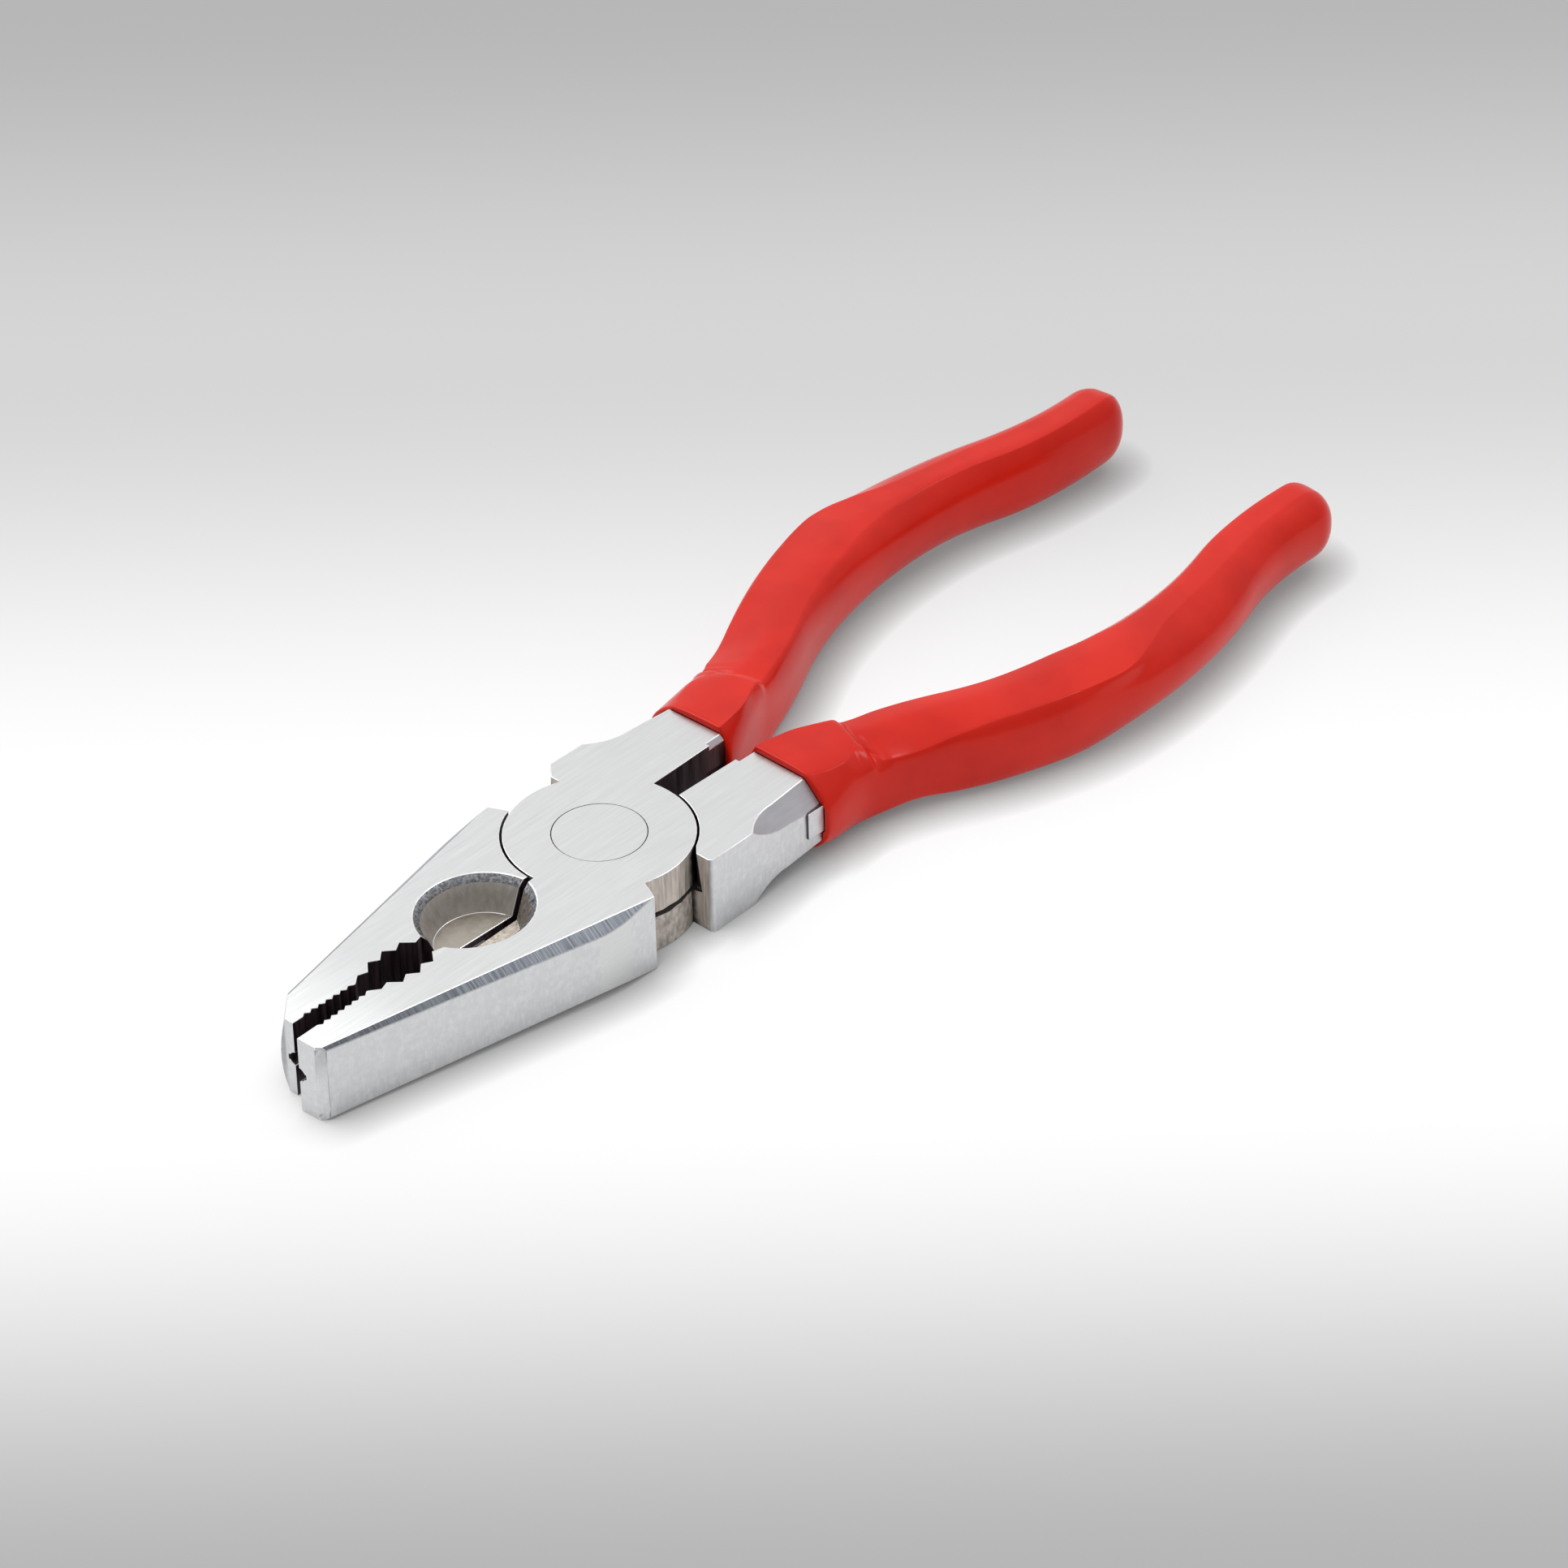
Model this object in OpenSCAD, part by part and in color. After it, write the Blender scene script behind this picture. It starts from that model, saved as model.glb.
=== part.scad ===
/* [Head] */
// Thickness of the head and of both jaws
head_t = 11.4; // [9:0.1:14]
// Radius of each half of the lap joint
joint_r = 12.5; // [11:0.1:13.4]
// Play between a joint half and the pocket that it turns in
joint_gap = 0.3; // [0.1:0.05:0.5]
// Play between the two lap faces
lap_gap = 0.1; // [0.05:0.05:0.3]
// Half width of the head at its shoulders
head_w = 14.6; // [14:0.1:16]
// Distance from the pivot to the jaws' rear shoulders
jaw_root_x = 5.7; // [4:0.1:7]
// Lean of those shoulders towards the joint
jaw_root_lean = 26; // [0:1:35]
// Angle that the jaws stand open at rest
rest_opening = 2.5; // [0:0.5:6]

/* [Jaws] */
// Length of the upper lever's jaw from the pivot
upper_jaw_l = 55.6; // [52:0.2:60]
// Length of the lower lever's jaw from the pivot
lower_jaw_l = 53.8; // [52:0.2:60]
// Distance from the pivot to where the jaws start to taper
jaw_waist_x = 12.8; // [12:0.1:20]
// Half width of the head where the jaws start to taper
jaw_waist_w = 14.6; // [13:0.1:15]
// Taper of each jaw's side
jaw_taper = 13.8; // [12:0.1:14]
// Gap left between the jaws when they are closed
jaw_gap = 0.2; // [0.1:0.05:0.6]
// Width of the flat at the front of the upper jaw
upper_tip_land = 3.1; // [1:0.1:3.4]
// Length of the upper jaw's corner bevel
upper_tip_bevel = 0.9; // [0.5:0.1:5]
// Width of the flat at the front of the lower jaw
lower_tip_land = 1.6; // [1:0.1:3.4]
// Length of the lower jaw's corner bevel
lower_tip_bevel = 4.4; // [0.5:0.1:5]
// How far the lower jaw's rounded corner bevel bulges at mid thickness
tip_nose = 0.7; // [0.2:0.1:1]
// Plan angle of the ground facet along each jaw's outer edges
facet_taper = 12.5; // [11:0.1:13]
// Slope of that facet
facet_slope = 48; // [30:1:60]

/* [Teeth and cutter] */
// Distance from the pivot to the middle of the pipe grip
pipe_x = 36.1; // [34:0.1:38]
// Depth of the pipe grip in each jaw
pipe_depth = 2.5; // [1.5:0.1:3.5]
// Radius of the pipe grip's arc
pipe_r = 11.5; // [9:0.5:16]
// Pitch of the pipe grip's coarse teeth
coarse_pitch = 2.75; // [2:0.05:3.2]
// Height of the coarse teeth
coarse_h = 1.1; // [0.5:0.05:1.5]
// Pitch of the fine teeth in front of the pipe grip
fine_pitch = 1.25; // [0.8:0.05:1.6]
// Height of the fine teeth
fine_h = 0.45; // [0.2:0.05:0.7]
// Number of fine teeth on each jaw
fine_count = 7; // [4:1:8]
// Radius of the round notch along the tips
notch_r = 1; // [0.5:0.05:1.5]
// Length of that notch
notch_l = 9; // [4:0.5:12]
// Distance from the pivot to the middle of the cutter's recess
recess_x = 22.2; // [22.2:0.1:23.4]
// Half length of the recess along the parting face
recess_half_l = 8.7; // [7:0.1:8.7]
// Width of the recess in the upper jaw
upper_recess_w = 6.4; // [5:0.1:8]
// Width of the recess in the lower jaw
lower_recess_w = 7.6; // [5:0.1:8]
// Size of the bevel around the recess
recess_rim = 0.9; // [0.2:0.1:1.2]
// How much narrower the recess is at its floor
recess_draft = 1.4; // [0.4:0.1:1.8]
// Depth of the recess, down to the cutter blades
recess_d = 4.6; // [3:0.1:6]
// Thickness of the blades at their cutting edges
blade_land = 0.8; // [0.4:0.1:1.5]
// Slope of the blades' underside
blade_slope = 45; // [40:1:60]
// Half length of the relief under the blades
blade_half_l = 6.5; // [4:0.1:7.5]

/* [Pivot] */
// Radius of the rivet's shaft
rivet_r = 4.6; // [3.5:0.1:5]
// Radius of the rivet's flush heads
rivet_head_r = 6.3; // [5.5:0.1:7]
// Running clearance of the rivet in the lower lever
rivet_play = 0.05; // [0.02:0.01:0.09]

/* [Shanks and tangs] */
// Distance from the pivot to the front shoulder of each shank
shank_root_x = 5; // [4:0.1:7]
// Half width over the shanks at their front shoulders
shank_front_w = 15; // [14.6:0.1:15.3]
// Length of the bevelled front corner of the upper lever's shank
upper_shank_bevel = 2; // [0.2:0.1:3]
// Length of the bevelled front corner of the lower lever's shank
lower_shank_bevel = 0.5; // [0.2:0.1:3]
// Half width of the slot between the shanks
slot_w = 1.8; // [1.2:0.1:2.6]
// Half width over the shanks at the grips
shank_w = 14.3; // [13.6:0.1:14.8]
// Width of the shanks' edge bevels at the grips
shank_bevel = 3; // [1.5:0.1:3.2]
// Angle in plan at which those bevels run out towards the joint
bevel_run = 6.6; // [5:0.1:8]
// Length of the bevels from the grips to the middle of their round ends
bevel_run_l = 8; // [7:0.5:9]
// Radius of the cutter that leaves the round ends
bevel_end_r = 11; // [8:1:14]
// Size of the small bevels on the shanks' inner edges at the grips
inner_bevel = 0.7; // [0.3:0.1:0.9]
// Height of the raised pads' middle, from the side with the lever's joint half
pad_z = 6.7; // [5:0.1:7]
// Length of the raised pads beside the grips
pad_l = 2.8; // [1.5:0.1:4]
// Height of the pads
pad_h = 4; // [2:0.1:5]
// How far the pads stand out
pad_proud = 0.45; // [0.2:0.05:0.6]
// Width of the tang inside a grip
tang_w = 5.6; // [4.6:0.1:6]
// Thickness of the tang
tang_t = 7; // [5:0.1:7.4]
// Length from the tang's end to the grip's end
tang_short = 9; // [7:0.5:20]

/* [Grips] */
// Distance from the pivot to the grips' mouths
mouth_x = 26; // [25:0.2:28]
// Distance from the tool's middle to a grip's middle at the mouth
mouth_y = 8.3; // [8:0.1:8.6]
// Direction in which a grip leaves its mouth
mouth_heading = 6; // [4:0.5:9]
// Length of the outward bend behind the mouth
front_bend_l = 25; // [22:0.5:28]
// Angle of that bend
front_bend = 20; // [16:0.5:23]
// Length of the belly's bend
belly_bend_l = 50.5; // [46:0.5:56]
// Angle of the belly's bend
belly_bend = 43.5; // [38:0.5:46]
// Length of the tail's bend
tail_bend_l = 24; // [21:0.5:28]
// Angle of the tail's bend
tail_bend = 23; // [15:0.5:26]
// How far the grips' lobes stand above the head
grip_proud = 0.9; // [0.5:0.1:1.5]
// Half width of a grip at its mouth
mouth_w = 7.4; // [6.8:0.1:7.6]
// Half width behind the lobe at the mouth
neck_w = 5.4; // [5.2:0.1:6.4]
// Half width at the belly
belly_w = 6.1; // [5.4:0.1:6.6]
// Half width at the tail
tail_w = 4.5; // [4.2:0.1:5.2]
// Half width of the flats at the mouth
mouth_flat = 4.6; // [4:0.1:5.2]
// How far those flats lie towards the other grip
mouth_shift = 1.2; // [0.6:0.1:1.6]
// Half width of the flats behind the lobe
neck_flat = 4.6; // [4.2:0.1:5]
// Half width of the flats at the tail
tail_flat = 2.2; // [1.8:0.1:3]
// Half height of a grip at its belly
belly_h = 5.4; // [5.1:0.1:5.7]
// Half height of a grip at its tail
tail_h = 5.4; // [5.1:0.1:5.7]
// How much higher than at the mouth a grip's middle lies behind its lobe
grip_rise = 0.6; // [0:0.1:0.8]
// Length of the flat lobe at the mouth
lobe_l = 11; // [9:0.5:14]
// Length over which the lobe falls to the height of the belly
lobe_fall = 5; // [3:0.5:8]
// Length of the rounded end
end_l = 5; // [4:0.5:7]
// Bond line between a grip and its tang
grip_bond = 0.05; // [0.02:0.01:0.1]

/* [Hidden] */
$fn = 96;
steel = [0.80, 0.81, 0.82];
red = [0.82, 0.14, 0.11];
// Overlap that keeps cuts and joins clean
eps = 0.1;
mid_t = head_t / 2;
part_y = jaw_gap / 2;
lap_z = mid_t - lap_gap / 2;
// Longer than any cut has to be
cut_l = upper_jaw_l + lower_jaw_l;
// Slope of the milled bevels
bevel_slope = 45;
// How far the cutter dips into a bevel at its round end
bevel_dip = 0.05;
nose_sag = tip_nose + eps;
nose_r = (mid_t * mid_t + nose_sag * nose_sag) / (2 * nose_sag);
rivet_cone = rivet_head_r - rivet_r;
shank_end = mouth_x - grip_bond;
lobe_h = (head_t + grip_proud) / 2;
tang_z = lobe_h + (grip_rise - tang_t) / 2;
grip_l = front_bend_l + belly_bend_l + tail_bend_l;
tang_end = grip_l - tang_short;
// Length of a tang's root inside its shank
tang_root = 1;
// Steps along a tang
tang_n = 28;
// Rings along a grip, rings in its rounded end, points up each wall and steps across each flat
ring_step = 2.4;
end_n = 4;
wall_n = 10;
flat_n = 3;
// Fullness of a grip's walls: 2 is a plain curve, more is squarer
wall_power = 2.4;

// Half width of a jaw's side at a distance from the pivot
function jaw_side(x) = jaw_waist_w - (x - jaw_waist_x) * tan(jaw_taper);
// Depth of the pipe grip's arc at a distance from its middle
function pipe_arc(d) = pipe_depth - pipe_r + sqrt(max(0, pipe_r * pipe_r - d * d));
// Half length over which the arc reaches the parting face
function pipe_half() = sqrt(pipe_r * pipe_r - pow(pipe_r - pipe_depth, 2));
coarse_side = floor(pipe_half() / coarse_pitch);
fine_x = pipe_x + pipe_half() + fine_pitch / 2;

// Point and heading after an arc of length l that turns by a from p and heading h
function arc_end(p, h, l, a) =
    let (r = l / (a * PI / 180))
    [p[0] + r * (sin(h + a) - sin(h)), p[1] - r * (cos(h + a) - cos(h))];
neck_pt = arc_end([mouth_x, mouth_y], mouth_heading, front_bend_l, front_bend);
neck_heading = mouth_heading + front_bend;
tail_pt = arc_end(neck_pt, neck_heading, belly_bend_l, -belly_bend);
tail_heading = neck_heading - belly_bend;
// Grip's middle line as [x, y, heading] at a length s from the mouth
function on_arc(p, h, l, a, s) =
    let (turn = a * s / l, e = s > 0 ? arc_end(p, h, s, turn) : p)
    [e[0], e[1], h + turn];
function grip_line(s) =
    s < front_bend_l ? on_arc([mouth_x, mouth_y], mouth_heading, front_bend_l, front_bend, s)
    : s < front_bend_l + belly_bend_l
        ? on_arc(neck_pt, neck_heading, belly_bend_l, -belly_bend, s - front_bend_l)
    : on_arc(tail_pt, tail_heading, tail_bend_l, tail_bend, s - front_bend_l - belly_bend_l);

function smooth(t) = let (u = min(1, max(0, t))) u * u * (3 - 2 * u);
function mix(a, b, t) = a + (b - a) * smooth(t);
belly_s = front_bend_l + belly_bend_l / 2;
tail_s = front_bend_l + belly_bend_l + tail_bend_l / 2;
// Height of a grip's middle line
function grip_z(s) = lobe_h + mix(0, grip_rise, (s - lobe_l) / (belly_s - lobe_l));
// Half width and half height of a grip's section, and the half width of its flats
function grip_half_w(s) =
    s < lobe_l ? mix(mouth_w, neck_w, s / lobe_l)
    : s < belly_s ? mix(neck_w, belly_w, (s - lobe_l) / (belly_s - lobe_l))
    : mix(belly_w, tail_w, (s - belly_s) / (tail_s - belly_s));
function grip_half_h(s) =
    s < belly_s ? mix(lobe_h, belly_h, (s - lobe_l + lobe_fall / 2) / lobe_fall)
    : mix(belly_h, tail_h, (s - belly_s) / (tail_s - belly_s));
function grip_flat(s) =
    s < lobe_l ? mix(mouth_flat, neck_flat, s / lobe_l)
    : mix(neck_flat, tail_flat, (s - lobe_l) / (tail_s - lobe_l));
// How far a section's flats lie off its middle, towards the other grip
function flat_shift(s) = mix(mouth_shift, 0, s / lobe_l);
// Shrink of a section within the rounded end
function end_scale(s) = sqrt(max(0, 1 - pow(max(0, s - (grip_l - end_l)) / end_l, 2)));

// Section of a grip, [across, up], anticlockwise seen against its direction
function wall_bulge(h) = 1 - pow(abs(h), wall_power);
function section(s) =
    let (k = end_scale(s), w = grip_half_w(s), f = grip_flat(s), o = flat_shift(s), h = grip_half_h(s))
    k * concat(
        [for (i = [0 : wall_n]) let (u = -1 + 2 * i / wall_n) [f - o + (w - f + o) * wall_bulge(u), h * u]],
        [for (i = [1 : flat_n - 1]) [f - o - 2 * f * i / flat_n, h]],
        [for (i = [0 : wall_n]) let (u = 1 - 2 * i / wall_n) [-f - o - (w - f - o) * wall_bulge(u), h * u]],
        [for (i = [1 : flat_n - 1]) [-f - o + 2 * f * i / flat_n, -h]]);
// The mouth lies square to the tool, and the rings turn into the grip's own heading along the lobe
function ring_heading(s) = grip_line(s)[2] * smooth(s / lobe_l);
function ring(s) =
    let (c = grip_line(s), a = ring_heading(s))
    [for (q = section(s)) [c[0] - q[0] * sin(a), c[1] + q[0] * cos(a), grip_z(s) + q[1]]];
ring_count = floor((grip_l - end_l) / ring_step);
ring_at = concat(
    [for (i = [0 : ring_count]) (grip_l - end_l) * i / ring_count],
    [for (i = [1 : end_n]) grip_l - end_l + end_l * sin(90 * i / (end_n + 1))]);
ring_n = 2 * (wall_n + 1) + 2 * (flat_n - 1);
grip_points = concat([for (s = ring_at) each ring(s)], [concat(
    [for (i = [0, 1]) grip_line(grip_l)[i]], [grip_z(grip_l)])]);
last_ring = (len(ring_at) - 1) * ring_n;
grip_faces = concat(
    [[for (i = [ring_n - 1 : -1 : 0]) i]],
    [for (j = [0 : len(ring_at) - 2], i = [0 : ring_n - 1])
        let (a = j * ring_n, n = (i + 1) % ring_n)
        each [[a + i, a + n, a + ring_n + n], [a + i, a + ring_n + n, a + ring_n + i]]],
    [for (i = [0 : ring_n - 1]) [last_ring + i, last_ring + (i + 1) % ring_n, last_ring + ring_n]]);

// Plan of a jaw on the +Y side
module jaw_plan(l, land, bevel) {
    polygon([
        [(head_w - part_y) * tan(jaw_root_lean) - jaw_root_x, part_y],
        [-jaw_root_x, head_w],
        [-jaw_waist_x, jaw_waist_w],
        [-l + bevel, jaw_side(l - bevel)],
        [-l, land],
        [-l, part_y]]);
}

// Bulge that rounds a jaw's corner bevel from its top edge to its bottom edge
module tip_bulge(l, land, bevel) {
    bevel_l = norm([bevel, jaw_side(l - bevel) - land]);
    translate([-l, land, mid_t])
        rotate([0, 0, atan2(jaw_side(l - bevel) - land, bevel)])
            intersection() {
                translate([0, -eps, eps - mid_t])
                    cube([bevel_l, tip_nose + eps, head_t - 2 * eps]);
                translate([0, tip_nose - nose_r, 0])
                    rotate([0, 90, 0])
                        cylinder(r = nose_r, h = bevel_l);
            }
}

// Plan of a shank on the -Y side
module shank_plan(bevel) {
    polygon([
        [shank_root_x, -slot_w],
        [shank_end, -slot_w],
        [shank_end, -shank_w],
        [shank_root_x + bevel, -shank_front_w],
        [shank_root_x, -shank_front_w + bevel]]);
}

// What the teeth leave open on the +Y side of the parting face
module teeth_plan() {
    coarse = [for (i = [-2 * coarse_side - 1 : 2 * coarse_side + 1])
        let (d = i * coarse_pitch / 2, low = i % 2 == 0 ? 0 : coarse_h)
        [-pipe_x + d, part_y + max(0, pipe_arc(d) - low)]];
    polygon(concat([[-pipe_x - pipe_half(), -eps]], coarse, [[-pipe_x + pipe_half(), -eps]]));
    for (i = [0 : fine_count - 1])
        translate([-fine_x - i * fine_pitch, part_y])
            polygon([[-fine_pitch / 2, -eps], [-fine_pitch / 2, 0], [0, fine_h], [fine_pitch / 2, 0],
                [fine_pitch / 2, -eps]]);
}

// Half space outside the facet along a jaw's upper edge
module jaw_facet_cut() {
    translate([-jaw_root_x, head_w, head_t])
        rotate([0, 0, facet_taper])
            rotate([facet_slope, 0, 0])
                translate([-cut_l, 0, -head_t])
                    cube([cut_l, 2 * head_t, 2 * head_t]);
}

// Milling cut that bevels a shank's upper outer edge and ends round towards the joint
module shank_bevel_cut() {
    translate([mouth_x, -shank_w + shank_bevel, head_t])
        rotate([-bevel_slope, 0, bevel_run])
            translate([-bevel_run_l, -bevel_end_r, 0]) {
                translate([0, 0, -head_t])
                    cube([cut_l, bevel_end_r, 2 * head_t]);
                translate([0, bevel_dip, 0])
                    cylinder(r = bevel_end_r, h = 3 * head_t, center = true);
            }
}

// Small bevel on a shank's upper inner edge beside the pad
module inner_bevel_cut() {
    translate([mouth_x - pad_l, -slot_w, head_t])
        rotate([bevel_slope, 0, 0])
            translate([0, -inner_bevel * sin(bevel_slope), -mid_t])
                cube([cut_l, head_t, head_t]);
}

module upside() {
    translate([0, 0, head_t])
        mirror([0, 0, 1])
            children();
}

// Raised pads on both sides of a shank at the grip
module shank_pads() {
    translate([mouth_x - pad_l, -shank_w - pad_proud, pad_z - pad_h / 2])
        cube([pad_l - grip_bond, shank_w - slot_w + 2 * pad_proud, pad_h]);
}

// Bar that a grip is dipped over, on the +Y side, with a root before the mouth and an allowance all round
module tang(root, grow) {
    half_w = tang_w / 2 + grow;
    line = [for (i = [0 : tang_n]) grip_line((tang_end + grow) * i / tang_n)];
    translate([0, 0, tang_z - grow])
        linear_extrude(tang_t + 2 * grow)
            polygon(concat(
                [[mouth_x - root, mouth_y - half_w]],
                [for (c = line) [c[0] + half_w * sin(c[2]), c[1] - half_w * cos(c[2])]],
                [for (i = [tang_n : -1 : 0]) let (c = line[i])
                    [c[0] - half_w * sin(c[2]), c[1] + half_w * cos(c[2])]],
                [[mouth_x - root, mouth_y + half_w]]));
}

// One lever with its joint half below, its jaw at +Y and its shank at -Y
module lever_forging(jaw_l, land, bevel, shoulder) {
    difference() {
        union() {
            difference() {
                linear_extrude(head_t)
                    union() {
                        jaw_plan(jaw_l, land, bevel);
                        shank_plan(shoulder);
                    }
                translate([0, 0, lap_z])
                    cylinder(r = joint_r + joint_gap, h = head_t);
            }
            cylinder(r = joint_r, h = lap_z);
            tip_bulge(jaw_l, land, bevel);
        }
        translate([0, 0, -eps])
            linear_extrude(head_t + 2 * eps)
                teeth_plan();
        jaw_facet_cut();
        upside() jaw_facet_cut();
        shank_bevel_cut();
        upside() shank_bevel_cut();
        inner_bevel_cut();
        upside() inner_bevel_cut();
        translate([-jaw_l - eps, 0, mid_t])
            rotate([0, 90, 0])
                cylinder(r = notch_r, h = notch_l + eps);
    }
    shank_pads();
}

// Recess above the cutter blades in one jaw, and the relief under them
module cutter_cut(side, w) {
    r = (recess_half_l * recess_half_l + w * w) / (2 * w);
    floor_z = head_t - recess_d;
    edge_z = floor_z - blade_land;
    relief_w = edge_z / tan(blade_slope);
    translate([-recess_x, side * (w - r), 0])
        rotate_extrude()
            polygon([
                [0, floor_z],
                [r - recess_rim - recess_draft, floor_z],
                [r - recess_rim, head_t - recess_rim],
                [r + eps, head_t + eps],
                [0, head_t + eps]]);
    translate([-recess_x - blade_half_l, 0, 0])
        rotate([90, 0, 90])
            linear_extrude(2 * blade_half_l)
                polygon([[-relief_w - eps, -eps], [relief_w + eps, -eps], [0, edge_z]]);
}

// Rivet's shape, grown all round by its play
module rivet_shape(play) {
    rotate_extrude()
        polygon([
            [0, 0],
            [rivet_head_r + play, 0],
            [rivet_r + play, rivet_cone],
            [rivet_r + play, head_t - rivet_cone],
            [rivet_head_r + play, head_t],
            [0, head_t]]);
}

// Turns a lever from its closed place to the rest opening
module opened(side) {
    rotate([0, 0, side * rest_opening / 2])
        children();
}

module upper_lever() {
    color(steel)
        opened(1) {
            difference() {
                translate([0, 0, head_t])
                    rotate([180, 0, 0])
                        lever_forging(upper_jaw_l, upper_tip_land, upper_tip_bevel, upper_shank_bevel);
                cutter_cut(-1, upper_recess_w);
                rivet_shape(0);
            }
            tang(tang_root, 0);
        }
}

module lower_lever() {
    color(steel)
        opened(-1) {
            difference() {
                lever_forging(lower_jaw_l, lower_tip_land, lower_tip_bevel, lower_shank_bevel);
                cutter_cut(1, lower_recess_w);
                rivet_shape(rivet_play);
            }
            mirror([0, 1, 0]) tang(tang_root, 0);
        }
}

module pivot_rivet() {
    color(steel)
        rivet_shape(0);
}

module grip() {
    difference() {
        polyhedron(grip_points, grip_faces);
        tang(eps, grip_bond);
    }
}

module upper_lever_grip() {
    color(red)
        opened(1)
            grip();
}

module lower_lever_grip() {
    color(red)
        opened(-1)
            mirror([0, 1, 0]) grip();
}

upper_lever();
lower_lever();
pivot_rivet();
upper_lever_grip();
lower_lever_grip();
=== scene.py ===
import bpy
import bmesh
import math
from mathutils import Matrix, Vector


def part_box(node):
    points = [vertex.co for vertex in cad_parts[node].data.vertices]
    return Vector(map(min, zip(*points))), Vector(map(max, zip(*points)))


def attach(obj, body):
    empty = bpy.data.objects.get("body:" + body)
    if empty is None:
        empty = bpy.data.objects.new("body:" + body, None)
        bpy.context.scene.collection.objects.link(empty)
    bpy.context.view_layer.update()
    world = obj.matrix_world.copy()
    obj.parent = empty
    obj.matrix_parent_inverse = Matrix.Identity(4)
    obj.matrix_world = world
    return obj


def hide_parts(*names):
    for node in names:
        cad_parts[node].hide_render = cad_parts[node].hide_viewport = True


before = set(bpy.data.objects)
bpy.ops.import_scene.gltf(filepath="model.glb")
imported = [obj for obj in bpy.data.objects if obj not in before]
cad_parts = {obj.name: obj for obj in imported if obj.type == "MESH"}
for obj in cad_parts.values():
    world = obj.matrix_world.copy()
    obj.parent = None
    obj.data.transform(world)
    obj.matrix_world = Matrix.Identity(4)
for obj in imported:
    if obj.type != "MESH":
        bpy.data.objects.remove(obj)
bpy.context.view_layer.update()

# sizes below are in millimetres, except in the studio and the camera
mm = 0.001
headT = 11.4  # the head's thickness
restTurn = 1.25  # half of the rest opening, degrees


def ease(t):
    t = min(1.0, max(0.0, t))
    return t * t * (3 - 2 * t)


def mix(a, b, t):
    return a + (b - a) * ease(t)


# smooth curve through (place, value) stops, without overshoot
def along(s, stops):
    if s <= stops[0][0]:
        return stops[0][1]
    if s >= stops[-1][0]:
        return stops[-1][1]
    i = max(k for k in range(len(stops) - 1) if stops[k][0] <= s)
    slopes = []
    for k in (i, i + 1):
        if k == 0 or k == len(stops) - 1:
            slopes.append(0.0)
            continue
        before = (stops[k][1] - stops[k - 1][1]) / (stops[k][0] - stops[k - 1][0])
        after = (stops[k + 1][1] - stops[k][1]) / (stops[k + 1][0] - stops[k][0])
        slopes.append(0.0 if before * after <= 0 else 2 * before * after / (before + after))
    (start, startValue), (end, endValue) = stops[i], stops[i + 1]
    run = end - start
    t = (s - start) / run
    return (startValue * (1 + 2 * t) * (1 - t) ** 2 + slopes[0] * run * t * (1 - t) ** 2
            + endValue * t * t * (3 - 2 * t) - slopes[1] * run * t * t * (1 - t))


def meshFrom(bm, name, sharpAngle):
    mesh = bpy.data.meshes.new(name)
    bm.to_mesh(mesh)
    bm.free()
    mesh.set_sharp_from_angle(angle=math.radians(sharpAngle))
    return mesh


def newPiece(mesh, body, materials, node):
    piece = bpy.data.objects.new(mesh.name, mesh)
    bpy.context.collection.objects.link(piece)
    for material in materials:
        mesh.materials.append(material)
    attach(piece, body)
    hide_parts(node)
    return piece


# shader helpers
def place(tree, kind, **settings):
    node = tree.nodes.new(kind)
    for key, value in settings.items():
        setattr(node, key, value)
    return node


# a socket takes another node's output, a colour or a plain value
def wire(tree, source, socket):
    if isinstance(source, bpy.types.NodeSocket):
        tree.links.new(source, socket)
    elif socket.type == "RGBA":
        socket.default_value = (*source, 1.0)
    else:
        socket.default_value = source


def newMaterial(name):
    material = bpy.data.materials.new(name)
    material.use_nodes = True
    tree = material.node_tree
    return material, tree, tree.nodes["Principled BSDF"]


def newGroup(name, inputs, outputs):
    tree = bpy.data.node_groups.new(name, "ShaderNodeTree")
    for label, kind, value in inputs:
        socket = tree.interface.new_socket(name=label, in_out="INPUT", socket_type=kind)
        socket.default_value = value
    for label in outputs:
        tree.interface.new_socket(name=label, in_out="OUTPUT", socket_type="NodeSocketFloat")
    return tree, place(tree, "NodeGroupInput"), place(tree, "NodeGroupOutput")


def onObject(tree):
    return place(tree, "ShaderNodeTexCoord").outputs["Object"]


def noiseNode(tree, vector, scale, detail, roughness=0.55):
    node = place(tree, "ShaderNodeTexNoise")
    for label, value in (("Vector", vector), ("Scale", scale), ("Detail", detail), ("Roughness", roughness)):
        wire(tree, value, node.inputs[label])
    return node.outputs["Fac"]


def rangeNode(tree, value, low, high, toLow=0.0, toHigh=1.0, curve="SMOOTHSTEP"):
    node = place(tree, "ShaderNodeMapRange", interpolation_type=curve)
    for label, number in (("Value", value), ("From Min", low), ("From Max", high),
                          ("To Min", toLow), ("To Max", toHigh)):
        wire(tree, number, node.inputs[label])
    return node.outputs["Result"]


def mathNode(tree, kind, *values, clamp=False):
    node = place(tree, "ShaderNodeMath", operation=kind, use_clamp=clamp)
    for value, socket in zip(values, node.inputs):
        wire(tree, value, socket)
    return node.outputs[0]


def vectorNode(tree, kind, a, b, result="Vector"):
    node = place(tree, "ShaderNodeVectorMath", operation=kind)
    wire(tree, a, node.inputs[0])
    wire(tree, b, node.inputs[1])
    return node.outputs[result]


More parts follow.
